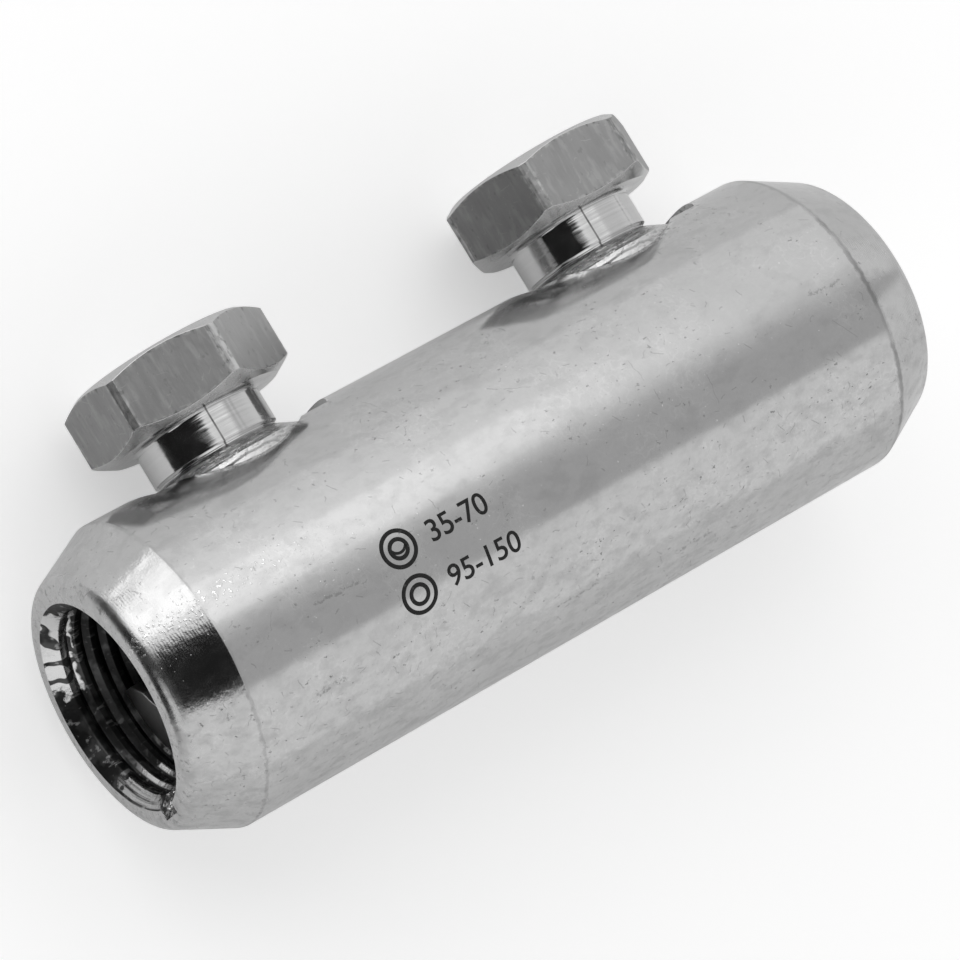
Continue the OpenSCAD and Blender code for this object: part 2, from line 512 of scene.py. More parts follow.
side_r = SLEEVE_R - PRINT_DEPTH
cone_x = HALF_LENGTH - CONE_LENGTH
right_end = rounded([
    (0, side_r, 0), (cone_x, side_r, CONE_EDGE), (HALF_LENGTH, CONE_END_R, END_EDGE), (HALF_LENGTH, 0, 0)
], steps=END_STEPS)
straight = np.stack([np.linspace(0, right_end[1, 0], SIDE_STEPS), np.full(SIDE_STEPS, side_r)], 1)
right_half = np.concatenate([straight, right_end[2:]])
left_half = right_half[:0:-1] * (-1, 1)
sleeve_line = np.concatenate([left_half, right_half])
print("outside", len(sleeve_line), "points")

# %% The line of a bore
BORE_R = 8.5
BORE_DEPTH = 37.0
MOUTH_R = 9.4
MOUTH_DEPTH = 1.2
MOUTH_EDGE = 0.3
GROOVE_START = 1.75
GROOVE_PITCH = 1.5
GROOVE_WIDTH = 1.0
GROOVE_DEPTH = 0.45
CUT_EDGE = 0.08
OVERCUT = 1.0
GROOVE_STEPS = 2

groove_count = int((BORE_DEPTH - GROOVE_START - GROOVE_WIDTH) / GROOVE_PITCH) + 1
bore_corners = [(-OVERCUT, 0, 0), (-OVERCUT, MOUTH_R + CUT_EDGE, 0), (0, MOUTH_R + CUT_EDGE, 0)]
bore_corners += [(CUT_EDGE, MOUTH_R, 0), (MOUTH_DEPTH, BORE_R, MOUTH_EDGE)]
for groove in range(groove_count):
    start = GROOVE_START + groove * GROOVE_PITCH
    bore_corners += [
        (start, BORE_R, CUT_EDGE),
        (start + GROOVE_WIDTH / 2, BORE_R + GROOVE_DEPTH, CUT_EDGE),
        (start + GROOVE_WIDTH, BORE_R, CUT_EDGE),
    ]
bore_corners += [(BORE_DEPTH, BORE_R, 0), (BORE_DEPTH, 0, 0)]
bore_line = rounded(bore_corners, steps=GROOVE_STEPS)
print("bore", len(bore_line), "points,", groove_count, "grooves")

# %% Shapes to cut with
KEYWAY_WIDTH = 2.8
KEYWAY_DEPTH = 1.8
SEAT_R = 10.2
SEAT_DEPTH = 1.0
HOLE_R = 8.0
BORE_STEPS = 128
UPRIGHT_STEPS = 160
CUTS = range(5)
OUTSIDE, BORE, KEYWAY, SEAT, HOLE = CUTS


def both_ends(points, faces):
    """A mesh drawn for the right end, and its mirror image at the left."""
    mirrored = np.asarray(points) * (-1, 1, 1)
    count = len(points)
    return np.concatenate([points, mirrored]), faces + [[i + count for i in reversed(f)] for f in faces]


def box_points(low, high):
    """The corners and faces of a box."""
    points = np.array([[(low, high)[k][i] for i, k in enumerate(corner)] for corner in np.ndindex(2, 2, 2)])
    faces = [[0, 1, 3, 2], [4, 6, 7, 5], [0, 4, 5, 1], [2, 3, 7, 6], [0, 2, 6, 4], [1, 5, 7, 3]]
    return points, faces


def upright(radius, foot, top):
    """A cylinder on the right bolt's axis."""
    circle = (BOLT_X, 0) + radius * on_circle(even_turns(UPRIGHT_STEPS))
    rings = np.stack([np.insert(circle, 2, z, axis=1) for z in (foot, top)])
    return closed_rings(rings, (BOLT_X, 0, foot), (BOLT_X, 0, top))


right_bore = (bore_line * (-1, 1) + (HALF_LENGTH, 0))[::-1]
keyway_low = (HALF_LENGTH - BORE_DEPTH, -KEYWAY_WIDTH / 2, -BORE_R - KEYWAY_DEPTH)
keyway_high = (HALF_LENGTH + OVERCUT, KEYWAY_WIDTH / 2, -BORE_R / 2)
cutters = {
    BORE: turned(right_bore, BORE_STEPS),
    KEYWAY: box_points(keyway_low, keyway_high),
    SEAT: upright(SEAT_R, SLEEVE_R - SEAT_DEPTH, SLEEVE_R + OVERCUT),
    HOLE: upright(HOLE_R, 0, SLEEVE_R + OVERCUT),
}
print("faces of the cutters", [len(faces) for points, faces in cutters.values()])

# %% Cut the sleeve
SLEEVE_STEPS = 288


def clean(mesh, gap=1e-3):
    """Merges points closer than the gap, in millimetres, and drops the slivers between them."""
    work = bmesh.new()
    work.from_mesh(mesh)
    bmesh.ops.remove_doubles(work, verts=work.verts, dist=gap)
    bmesh.ops.dissolve_degenerate(work, edges=work.edges, dist=gap)
    work.to_mesh(mesh)
    work.free()


def marked(name, kind, points, faces):
    """A piece whose faces remember which cut they come from, by their material's number."""
    piece = bench_object(name, points, faces)
    for _ in CUTS:
        piece.data.materials.append(marker)
    piece.data.polygons.foreach_set("material_index", [kind] * len(piece.data.polygons))
    return piece


marker = bpy.data.materials.new("cut_marker")
sleeve = marked("plated_sleeve", OUTSIDE, *turned(sleeve_line, SLEEVE_STEPS))
tools = [marked("cutter_%d" % kind, kind, *both_ends(*cutter)) for kind, cutter in cutters.items()]
for tool in tools:
    cut = sleeve.modifiers.new(tool.name, "BOOLEAN")
    cut.operation = "DIFFERENCE"
    cut.solver = "EXACT"
    cut.material_mode = "INDEX"
    cut.object = tool
whole = sleeve.evaluated_get(bpy.context.evaluated_depsgraph_get())
sleeve.data = bpy.data.meshes.new_from_object(whole)
sleeve.modifiers.clear()
clean(sleeve.data)
for tool in tools:
    bpy.data.objects.remove(tool)
cut_of = np.zeros(len(sleeve.data.polygons), int)
sleeve.data.polygons.foreach_get("material_index", cut_of)
print("faces from each cut", np.bincount(cut_of, minlength=len(CUTS)).tolist())

# %% [markdown]
# ## Normals from the true surfaces
# A boolean leaves odd-shaped faces beside its cuts, and a shiny surface shows each of them as a
# kink in its reflections. The surfaces are known, though: every face lies on a turned profile, on a
# bolt's cylinder or on a plane. So the normals are worked out from those and set corner by corner.

# %% Normals of a turned surface
CREASE = 25.0
PLACES_AT_ONCE = 4000


def line_normals(line):
    """Normals at the two ends of each stretch of a profile, shared where the profile bends softly."""
    step = np.diff(line, axis=0)
    flat = np.stack([-step[:, 1], step[:, 0]], 1) / np.linalg.norm(step, axis=1)[:, None]
    shared = flat[:-1] + flat[1:]
    shared = shared / np.linalg.norm(shared, axis=1)[:, None]
    soft = ((flat[:-1] * flat[1:]).sum(1) > math.cos(math.radians(CREASE)))[:, None]
    starts, ends = flat.copy(), flat.copy()
    starts[1:] = np.where(soft, shared, flat[1:])
    ends[:-1] = np.where(soft, shared, flat[:-1])
    return starts, ends


def nearest_stretch(line, places):
    """Which stretch of a profile lies nearest to each place."""
    start, step = line[:-1], np.diff(line, axis=0)
    found = []
    for some in np.array_split(places, max(1, len(places) // PLACES_AT_ONCE)):
        offset = some[:, None] - start
        share = np.clip((offset * step).sum(2) / (step * step).sum(1), 0, 1)
        gap = np.linalg.norm(offset - share[..., None] * step, axis=2)
        found.append(gap.argmin(1))
    return np.concatenate(found)


def turned_normals(line, face_places, corner_points, corner_face):
    """Normals of a surface turned about X, for face corners and the faces that they belong to."""
    starts, ends = line_normals(line)
    stretch = nearest_stretch(line, face_places)[corner_face]
    radius = np.hypot(corner_points[:, 1], corner_points[:, 2])
    place = np.stack([corner_points[:, 0], radius], 1)
    step = np.diff(line, axis=0)[stretch]
    share = np.clip(((place - line[stretch]) * step).sum(1) / (step * step).sum(1), 0, 1)[:, None]
    normal = starts[stretch] * (1 - share) + ends[stretch] * share
    outward = corner_points[:, 1:] / np.maximum(radius, 1e-9)[:, None]
    return np.concatenate([normal[:, :1], outward * normal[:, 1:]], 1)


print("stretches of the outside", len(line_normals(sleeve_line)[0]))

# %% Set the sleeve's normals
STEEP = 0.5


def face_table(mesh):
    """The normal and the middle of each face."""
    return np.array([p.normal for p in mesh.polygons]), np.array([p.center for p in mesh.polygons])


def corner_table(mesh):
    """The point and the face of each corner of each face."""
    points = np.array([v.co for v in mesh.vertices])
    vertex = np.array([loop.vertex_index for loop in mesh.loops])
    face = np.repeat(np.arange(len(mesh.polygons)), [p.loop_total for p in mesh.polygons])
    return points[vertex], face


face_normal, face_place = face_table(sleeve.data)
corner, corner_face = corner_table(sleeve.data)
face_line = np.stack([face_place[:, 0], np.hypot(face_place[:, 1], face_place[:, 2])], 1)
flat_normal = face_normal[corner_face]
normals = flat_normal.copy()
corner_cut = cut_of[corner_face]
left_bore = right_bore[::-1] * (-1, 1)
for kind, line in ((OUTSIDE, sleeve_line), (BORE, np.concatenate([left_bore, right_bore]))):
    chosen = corner_cut == kind
    normals[chosen] = turned_normals(line, face_line, corner[chosen], corner_face[chosen])
bolt_side = np.sign(corner[:, 0]) * BOLT_X
to_axis = np.stack([bolt_side - corner[:, 0], -corner[:, 1], 0 * bolt_side], 1)
wall = (corner_cut >= SEAT) & (np.abs(flat_normal[:, 2]) < STEEP)
normals[wall] = to_axis[wall] / np.linalg.norm(to_axis[wall], axis=1)[:, None]
facing = np.sign((normals * flat_normal).sum(1))[:, None]
normals = normals * np.where(facing == 0, 1, facing)
off = np.degrees(np.arccos(np.clip((normals * flat_normal).sum(1), -1, 1)))
print("normals off their faces by up to", off.max().round(1), "degrees, on average", off.mean().round(2))

# %% [markdown]
# ## Places for the finishes
# Wear and tool marks belong to the piece, so they are written in bench millimetres, read back from
# the piece's own coordinates. They stay where they are when a bolt is turned in or an insert drawn
# out. For the sleeve's side the surface is unrolled: along the axis, and round it as an arc length.

# %% Read the bench's places back


def bench_finish(name, x=0.0):
    """A finish, the wire that writes on it, and the place on the bench, measured from x along it."""
    finish, pen = new_finish(name)
    here = pen.node("TexCoord", {}, {}, "Object")
    frame_to_bench = {
        "Vector": here,
        "Location": BENCH @ Vector((x, 0, 0)),
        "Rotation": bench_turn.to_euler(),
        "Scale": (MM, MM, MM),
    }
    return finish, pen, pen.node("Mapping", {"vector_type": "TEXTURE"}, frame_to_bench)


print("bench origin in the frame", [round(v, 4) for v in bench_origin])

# %% Noise, scratches and metal


def noise(place, scale, detail=2.0, stretch=(1, 1, 1)):
    """Noise from about 0.3 to 0.7, with so many lumps to a millimetre, drawn out by the stretch."""
    place = place.vector("MULTIPLY", tuple(scale * s for s in stretch))
    return place.node("TexNoise", {}, {"Vector": place, "Scale": 1.0, "Detail": detail})


def scratches(flat, cell, share, length, width):
    """Short scratches at every angle: at most one in each cell of that size, in a share of them."""
    settings = {"voronoi_dimensions": "2D"}
    middle, chance = flat.node(
        "TexVoronoi", settings, {"Vector": flat, "Scale": 1 / cell}, "Position", "Color"
    )
    pick, spin, reach = chance.parts()
    offset = flat.vector("SUBTRACT", middle)
    turned_offset = flat.node(
        "VectorRotate", {"rotation_type": "Z_AXIS"}, {"Vector": offset, "Angle": spin * math.pi}
    )
    along, beside, _ = turned_offset.parts()
    line = abs(beside).smooth(width / 2, width / 6)
    return line * (abs(along) < reach * (length / 2)) * (pick < share)


def metal(pen, colour, roughness, height):
    """Ends a finish: a metal with its colour, its gloss and, in millimetres, its small relief."""
    normal = pen.node("Bump", {}, {"Height": height * MM, "Distance": 1.0})
    sockets = {"Base Color": colour, "Metallic": 1.0, "Roughness": roughness, "Normal": normal}
    pen.node("OutputMaterial", {}, {"Surface": pen.node("BsdfPrincipled", {}, sockets)})


print("helpers for noise, scratches and metal, all in millimetres")

# %% [markdown]
# ## Tin plate that has been handled
# The plating is bright but not a mirror. It has clouds, smudges and frosty mottling, mostly on the lower
# side, short scratches in every direction and a few longer scuffs, dark specks, bright nicks where the
# plate is dented, a burr round each bolt's seat and a dark line where the cone meets the side. The
# nicks' brightness is partly a painted glint, gathered along the band where the side's highlight runs,
# and the underside is darkened by painted shade. The cones keep the lathe's fine rings.

# %% Where on the plate
tin_plate, pen, place = bench_finish("tin_plate")
along, beside, above = place.parts()
degrees = above.turn(beside * -1)
around = degrees * math.radians(SLEEVE_R)
ragged = noise(place, 1.6, 3.0) - 0.5
flat = (along + ragged * 0.7).by(around - ragged * 0.7)
from_middle = abs(along)
on_cone = from_middle.smooth(cone_x - 0.05, cone_x + 0.05)
end_edge = from_middle.smooth(HALF_LENGTH - 1.5, HALF_LENGTH - 0.7)
end_face = from_middle.smooth(HALF_LENGTH - 0.6, HALF_LENGTH - 0.2)
on_right = along.smooth(-5, 5)
low_side = degrees.smooth(-18, -34)
# The underside, darkened below by painted shade.
painted_underside_shade = degrees.smooth(-52, -84) * degrees.smooth(-170, -140)
bolt_radius = (from_middle - BOLT_X).hypot(beside)
print("nodes that say where on the plate", len(tin_plate.node_tree.nodes))

# %% Clouds, scratches and dents
SCUFFS = (
    (-26.0, -21.0, -8.4), (-28.8, -25.2, -36.0), (28.5, 32.3, 2.0), (-4.0, 0.5, -55.0), (9.0, 13.5, -62.0)
)

clouds = noise(place, 0.16, 3.0)
mottle = noise(place, 1.1, 4.0, (0.6, 1, 1))
frost = mottle.smooth(0.40, 0.66) * (0.35 + low_side * 0.65)
grain = noise(place, 3.2, 2.0)
smudges = noise(place, 0.55, 4.0, (0.6, 1, 1)).smooth(0.50, 0.66)
wisps = abs(noise(place, 0.8, 3.0) - 0.5).smooth(0.035, 0.0) * clouds.smooth(0.46, 0.56)
fine_marks = scratches(flat, 1.1, 0.2 + low_side * 0.25, 1.0, 0.13)
long_marks = scratches(flat, 5.0, 0.25, 3.0, 0.10)
flecks = noise(place, 2.6, 3.0, (0.7, 1, 1)).smooth(0.665, 0.71)
flecks = flecks * (clouds.smooth(0.42, 0.55) + low_side * 0.3)
seat_rim = abs(bolt_radius - SEAT_R + ragged * 0.6).smooth(0.6, 0.2)
hole_rim = abs(bolt_radius - HOLE_R - 0.1 + ragged * 0.6).smooth(0.5, 0.1)
burred = (seat_rim * above.smooth(12.4, 12.9)).most(hole_rim * above.smooth(8, 10))
burr = noise(place, 2.0, 4.0)
scuffs = 0.0
for start, end, angle in SCUFFS:
    in_reach = along.smooth(start, start + 0.4) * along.smooth(end, end - 0.4)
    line = abs(around - math.radians(angle) * SLEEVE_R + ragged * 1.2)
    scuffs = scuffs + in_reach * line.smooth(0.24, 0.06) * grain.smooth(0.42, 0.56)
# A band along the side's highlight, where the nicks gather and shine: painted glints on real dents.
glint_band = abs(degrees - 11).smooth(10, 1) * along.smooth(-8, -33)
dents_and_glints = (noise(place, 3.4, 4.0) + glint_band * 0.15).smooth(0.70, 0.80)
off_line = abs(from_middle - cone_x + ragged * 0.6) / (1 + on_right * 0.7)
cone_line = off_line.smooth(0.24, 0.06) * (0.45 + on_right * 0.55) * (0.4 + clouds.smooth(0.42, 0.52) * 0.6)
print("nodes with the marks", len(tin_plate.node_tree.nodes))

# %% The finish of the sleeve's outside
PLATE = 0.56
PLATE_DARK = 0.26
# The nicks' colour, far brighter than the plate: partly a painted glint.
NICK_GLINT = 0.86
RINGS_PER_MM = 4.4

# The tone includes painted shade on the underside.
tone = (clouds - 0.5) * 0.14 + 1.03 - frost * 0.10 - smudges * 0.06 + wisps * 0.07 - painted_underside_shade * 0.12
tone = tone + (grain - 0.5) * (0.08 + low_side * 0.12) + burred * burr.smooth(0.52, 0.60) * 0.25
dark = (fine_marks * 0.42).most(
    long_marks * 0.35,
    flecks * 0.7,
    burred * burr.smooth(0.46, 0.37) * 0.6,
    end_face * burr.smooth(0.56, 0.70) * 0.6,
    scuffs * 0.6,
    cone_line * 0.8,
)
shade = (1 - dark).between(grey(PLATE_DARK), grey(PLATE))
shade = shade.vector("MULTIPLY", pen.node("CombineXYZ", {}, {0: tone, 1: tone, 2: tone}))
# The nicks are painted bright: painted glints over the relief of real dents.
shade = dents_and_glints.between(shade, grey(NICK_GLINT))
gloss = 0.12 + clouds.smooth(0.35, 0.7) * 0.05 + frost * 0.10 + dark * 0.2 + end_edge * 0.12
rings = pen.math("SINE", (along + ragged * 0.35) * (2 * math.pi * RINGS_PER_MM)) * on_cone
relief = (noise(place, 0.25, 2.0) - 0.5) * 0.02 + mottle * 0.003 + rings * 0.0009 + dents_and_glints * 0.012
relief = relief + (burred * 0.03 + on_cone * (1 - on_right) * 0.016) * (burr - 0.5)
metal(pen, shade, gloss, relief)
print("tin plate", PLATE, "with nicks", NICK_GLINT)

# %% [markdown]
# The bores are plated too, and their colour is painted almost black: partly grease, partly painted
# shade for their depth. Round the mouth the grease is rubbed off in patches with ragged edges, and
# bright streaks run in from there. Along the foot the edges of the grooves that face the mouth are
# rubbed bright and carry painted highlights.

# %% The finish of the bores
# Grease, darkened further by painted shade for the depth of the bore.
GREASE_AND_DEPTH_SHADE = 0.035
GREASE_SMEAR = 0.10
# The colour of bare metal, also used for the painted highlights on the groove edges.
BARE_METAL_AND_HIGHLIGHT = 0.74

greased_bore, pen, place = bench_finish("greased_bore")
along, beside, above = place.parts()
depth = HALF_LENGTH - abs(along)
ragged = noise(place, 0.8, 3.0) - 0.5
wander = above.turn(beside * -1) + ragged * 40
back_patch = wander.smooth(99, 102) * wander.smooth(160, 157) * (depth + ragged * 1.2).smooth(2.6, 2.4)
foot_patch = wander.smooth(-143, -140) * wander.smooth(-99, -102) * (depth + ragged).smooth(1.6, 1.4)
branches = abs(noise(place, 0.22, 2.0) - 0.47).smooth(0.035, 0.025)
hatch = noise(along.by(wander * 0.006), 4.0, 3.0)
foot_patch = foot_patch * hatch.smooth(0.40, 0.54)
bare = (back_patch * (1 - branches)).most(foot_patch * 0.75)
streaks = noise(place, 1.8, 3.0, (0.2, 1, 1))
near_mouth = depth.smooth(6.0, 0.5)
bright_streaks = streaks.smooth(0.58, 0.68) * (0.06 + near_mouth * 0.4)
on_foot = wander.smooth(-160, -135) * wander.smooth(-40, -65) * depth.smooth(16, 5) * (depth > GROOVE_START)
phase = pen.math("FRACT", (depth - GROOVE_START) / GROOVE_PITCH)
mouth_side = phase.smooth(0.42, 0.52) * phase.smooth(0.76, 0.68)
# The mouth-facing groove edges along the foot: rubbed bright, and painted highlights.
rubbed_edges_and_highlights = mouth_side * on_foot * noise(place, 0.6, 3.0).smooth(0.40, 0.50)
smears = noise(place, 0.35, 3.0).smooth(0.50, 0.60)
shade = smears.between(grey(GREASE_AND_DEPTH_SHADE), grey(GREASE_SMEAR))
shade = bare.most(bright_streaks, rubbed_edges_and_highlights).between(shade, grey(BARE_METAL_AND_HIGHLIGHT))
gloss = 0.42 - bare * 0.24 - rubbed_edges_and_highlights * 0.22 + streaks.smooth(0.4, 0.7) * 0.1
metal(pen, shade, gloss, (streaks - 0.5) * 0.05)
print("bare patches at the back and the foot of each mouth, grease", GREASE_AND_DEPTH_SHADE)

# %% [markdown]
# The seats under the bolts and the bolt holes are milled after plating and left as the cutter leaves
# them, with curved marks about the bolt and small chips. The keyways are broached: bright, with fine
# lines along the bore.

# %% The finish of the milled faces
MILLED = 0.56

milled, pen, place = bench_finish("milled_faces")
along, beside, above = place.parts()
cuts = noise((abs(along) - BOLT_X).hypot(beside).by(above), 4.0, 3.0)
smears = noise(place, 0.6, 3.0)
chips = noise(place, 1.8, 4.0)
level = MILLED + cuts * 0.16 + smears * 0.12 - chips.smooth(0.42, 0.34) * 0.3
metal(pen, level, 0.36 + smears * 0.16, cuts * 0.02 + smears * 0.03 + chips * 0.08)
print("milled faces", MILLED)

# %% The finish of the keyways
BROACHED = 0.62

broached, pen, place = bench_finish("broached_keyway")
streaks = noise(place, 1.0, 3.0, (0.08, 4, 4))
stains = noise(place, 0.9, 3.0).smooth(0.46, 0.60)
chips = noise(place, 1.6, 3.0)
level = BROACHED + streaks.smooth(0.44, 0.58) * 0.3 - stains * 0.25
metal(pen, level, 0.26 + stains * 0.15, streaks * 0.04 + chips * 0.5)
print("broached keyways", BROACHED)

# %% Dress the sleeve
finishes = [tin_plate, greased_bore, milled, broached]
of_cut = {OUTSIDE: tin_plate, BORE: greased_bore, KEYWAY: broached, SEAT: milled, HOLE: milled}
finish_of_cut = np.array([finishes.index(of_cut[kind]) for kind in CUTS])
dress(sleeve, "sleeve", finishes, finish_of_cut[cut_of])
sleeve.data.normals_split_custom_set((normals @ np.array(bench_turn).T).tolist())
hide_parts("connector_body")

# %% [markdown]
# ## The printed marks
# Two small pictures of the bore, with the insert and without it, each with the conductor sizes that
# fit. On the real sleeve they are printed in dark ink. Here each is drawn flat, cut into narrow
# strips so that it can bend, wrapped on the side and given the thickness of ink.

# %% Draw the marks flat
RING_R = 1.71
INNER_R = 0.98
RING_STEPS = 72
INK_LINE = 0.36
SADDLE_LINE = 0.7 * INK_LINE
SADDLE_MARK_R = 0.92
SADDLE_MARK_Y = 0.45
SADDLE_MARK_SWEEP = (210, 330)
SADDLE_MARK_STEPS = 20
NUMBER_HEIGHT = 1.9
NUMBER_WEIGHT = 0.009
MARK_X = -16.75
NUMBER_X = -13.7


def ring_mark(radius):
    """A printed ring, flat, round the origin."""
    circle = on_circle(even_turns(RING_STEPS))
    points = np.concatenate([circle * radius, circle * (radius - INK_LINE)])
    return points, ring_faces(2, RING_STEPS)


def saddle_mark():
    """The insert's saddle inside the inner ring: a hanging arc."""
    radii = (SADDLE_MARK_R, SADDLE_MARK_R - SADDLE_LINE)
    outer, inner = [arc((0, SADDLE_MARK_Y), r, *SADDLE_MARK_SWEEP, SADDLE_MARK_STEPS) for r in radii]
    count = len(outer)
    faces = [[i, i + 1, i + 1 + count, i + count] for i in range(count - 1)]
    return np.concatenate([outer, inner]), faces


def number_mark(words):
    """Plain figures, flat, standing on the origin, at their printed height."""
    curve = bpy.data.curves.new("figures", "FONT")
    curve.body = words
    curve.offset = NUMBER_WEIGHT
    holder = put("figures", curve)
    mesh = bpy.data.meshes.new_from_object(holder.evaluated_get(bpy.context.evaluated_depsgraph_get()))
    bpy.data.objects.remove(holder)
    points = np.array([v.co[:2] for v in mesh.vertices])
    faces = [list(p.vertices) for p in mesh.polygons]
    bpy.data.meshes.remove(mesh)
    points = points - points.min(0)
    return points * NUMBER_HEIGHT / points[:, 1].max(), faces


marks = []
for angle, words, with_insert in ((-5.7, "35-70", True), (-22.6, "95-150", False)):
    low_edge = angle - math.degrees(NUMBER_HEIGHT / 2 / SLEEVE_R)
    marks += [(*ring_mark(RING_R), MARK_X, angle), (*ring_mark(INNER_R), MARK_X, angle)]
    marks.append((*number_mark(words), NUMBER_X, low_edge))
    if with_insert:
        marks.append((*saddle_mark(), MARK_X, angle))
print("flat marks", len(marks))

# %% Wrap the marks on the sleeve
STRIP = 0.12
INK = 0.03
INK_SINK = 0.002
INK_GAP = 0.006
INK_GREY = 0.014
INK_WORN = 0.09


def wrap(name, parts):
    """One object from flat parts (points, faces, along, angle), wrapped on the sleeve."""
    work = bmesh.new()
    for points, faces, x, angle in parts:
        around = math.radians(angle) * SLEEVE_R
        corners = [work.verts.new((x + u, around + v, 0)) for u, v in points]
        for face in faces:
            work.faces.new([corners[i] for i in face])
    bmesh.ops.remove_doubles(work, verts=work.verts, dist=1e-5)
    lowest = min(v.co.y for v in work.verts)
    highest = max(v.co.y for v in work.verts)
    for level in np.arange(lowest, highest, STRIP):
        geometry = work.verts[:] + work.edges[:] + work.faces[:]
        bmesh.ops.bisect_plane(work, geom=geometry, plane_co=(0, level, 0), plane_no=(0, 1, 0))
    r = SLEEVE_R - INK_SINK
    for vertex in work.verts:
        turn = vertex.co.y / SLEEVE_R
        vertex.co = (vertex.co.x, -r * math.cos(turn), r * math.sin(turn))
    mesh = bpy.data.meshes.new(name)
    work.to_mesh(mesh)
    work.free()
    clean(mesh, gap=INK_GAP)
    return put(name, mesh)


ink, pen, place = bench_finish("printed_ink")
worn = noise(place, 3.0, 3.0).smooth(0.62, 0.74)
shade = worn.between(grey(INK_GREY), grey(INK_WORN))
shader = pen.node("BsdfPrincipled", {}, {"Base Color": shade, "Roughness": 0.6, "Specular IOR Level": 0.25})
pen.node("OutputMaterial", {}, {"Surface": shader})

printed = wrap("printed_marks", marks)
dress(printed, "sleeve", [ink])
thickness = printed.modifiers.new("ink", "SOLIDIFY")
thickness.thickness = INK * MM
thickness.offset = -1

# %% [markdown]
# ## The shear bolts
# Each bolt is one piece: a threaded plug, a sloping shoulder, a shear groove, a bright turned neck
# and a hex head with chamfers above and below. The head's outline changes round the axis, so the
# profile is worked out afresh at each angle, and the edges run true along the grid of points.

# %% The outline of a head
FLAT_R = 8.4
CORNER_R = 9.5
STRIP_EDGE = 0.12
STRIP_STEPS = 3
FLAT_STEPS = 22
LEFT_TURN = 7.5
RIGHT_TURN = 27.0


def hex_outline(turn):
    """Angles and radii round the head: six flats, and the narrow strips turned off their corners."""
    half_flat = math.acos(FLAT_R / CORNER_R)
    corners = []
    for side in range(6):
        middle = math.radians(60 * side + turn - 60)
        for corner in (middle - half_flat, middle + half_flat):
            corners.append((CORNER_R * math.cos(corner), CORNER_R * math.sin(corner), STRIP_EDGE))
    line = rounded(corners, closed=True, steps=STRIP_STEPS)
    filled = []
    for here, there in zip(line, np.roll(line, -1, axis=0)):
        steps = FLAT_STEPS if np.linalg.norm(there - here) > 1 else 2
        filled += [here + (there - here) * i / steps for i in range(steps)]
    filled = np.array(filled)
    return np.arctan2(filled[:, 1], filled[:, 0]), np.hypot(filled[:, 0], filled[:, 1])


print("a head's outline has", len(hex_outline(LEFT_TURN)[0]), "points")

# %% The thread and the torn shoulder
TIP_Z = 8.0
TIP_CHAMFER = 1.0
THREAD_R = 7.95
THREAD_PITCH = 1.5
THREAD_DEPTH = 0.8
THREAD_CREST = 0.15
THREAD_FLANK = 0.7
THREAD_TOP_Z = 11.3
THREAD_RUN_IN = 0.6
THREAD_RUN_OUT = 0.4
THREAD_ROWS = 26
SHOULDER_Z = 12.55
SHEAR_Z = 13.6
NECK_R = 5.85
SHOULDER_TOP_R = NECK_R + 0.1
LAYER_DEPTH = 0.15
LAYER_PITCH = 0.62
LAYER_RUN_OUT = 0.3
LAYER_WAVES = ((2, 0.45, 0.4), (5, 0.24, 1.9), (8, 0.12, 4.4), (13, 0.06, 2.6), (23, 0.05, 0.9))
LAYER_ROWS = 36


def thread_rows(turn):
    """Radii and heights up the plug, at one angle round it: a helix that fades out at both ends."""
    z = np.linspace(TIP_Z + TIP_CHAMFER, THREAD_TOP_Z, THREAD_ROWS)
    wave = np.abs(((z / THREAD_PITCH - turn / (2 * math.pi)) % 1) * 2 - 1)
    cut = np.clip((wave - THREAD_CREST) / THREAD_FLANK, 0, 1) * THREAD_DEPTH
    fade = np.clip((z - z[0]) / THREAD_RUN_IN, 0, 1) * np.clip((z[-1] - z) / THREAD_RUN_OUT, 0, 1)
    return np.stack([THREAD_R - cut * fade, z], 1)


def layer_rows(turn):
    """The plug's top and the shoulder at one angle, torn into ragged layers that wander round it."""
    corners = np.array([(THREAD_R, THREAD_TOP_Z), (THREAD_R, SHOULDER_Z), (SHOULDER_TOP_R, SHEAR_Z)])
    lengths = np.linalg.norm(np.diff(corners, axis=0), axis=1)
    way = np.linspace(0, lengths.sum(), LAYER_ROWS)
    on_slope = way > lengths[0]
    at = np.concatenate([[0], np.cumsum(lengths)])
    points = np.stack([np.interp(way, at, corners[:, i]) for i in range(2)], 1)
    slope = (corners[2] - corners[1]) / lengths[1]
    inward = np.where(on_slope[:, None], (-slope[1], slope[0]), (-1, 0))
    wander = sum(size * math.sin(n * turn + start) for n, size, start in LAYER_WAVES)
    depth = LAYER_DEPTH * (0.55 + 0.45 * math.sin(3 * turn + 1.2 + wander))
    edges = np.clip(np.minimum(way, way[-1] - way) / LAYER_RUN_OUT, 0, 1)
    return points + inward * (depth * ((way / LAYER_PITCH + wander) % 1) * edges)[:, None]


print("rows of the thread", THREAD_ROWS, "and of the shoulder", LAYER_ROWS)

# %% Put a bolt together
TIP_EDGE = 0.15
SHEAR_GROOVE_WIDTH = 0.5
SHEAR_GROOVE_DEPTH = 0.4
SHEAR_GROOVE_EDGE = 0.08
NECK_FILLET = 0.35
FOOT_Z = 17.4
TOP_Z = 23.65
FOOT_R = 7.9
TOP_R = 8.0
CHAMFER = math.tan(math.radians(30))
HEAD_EDGE = 0.12


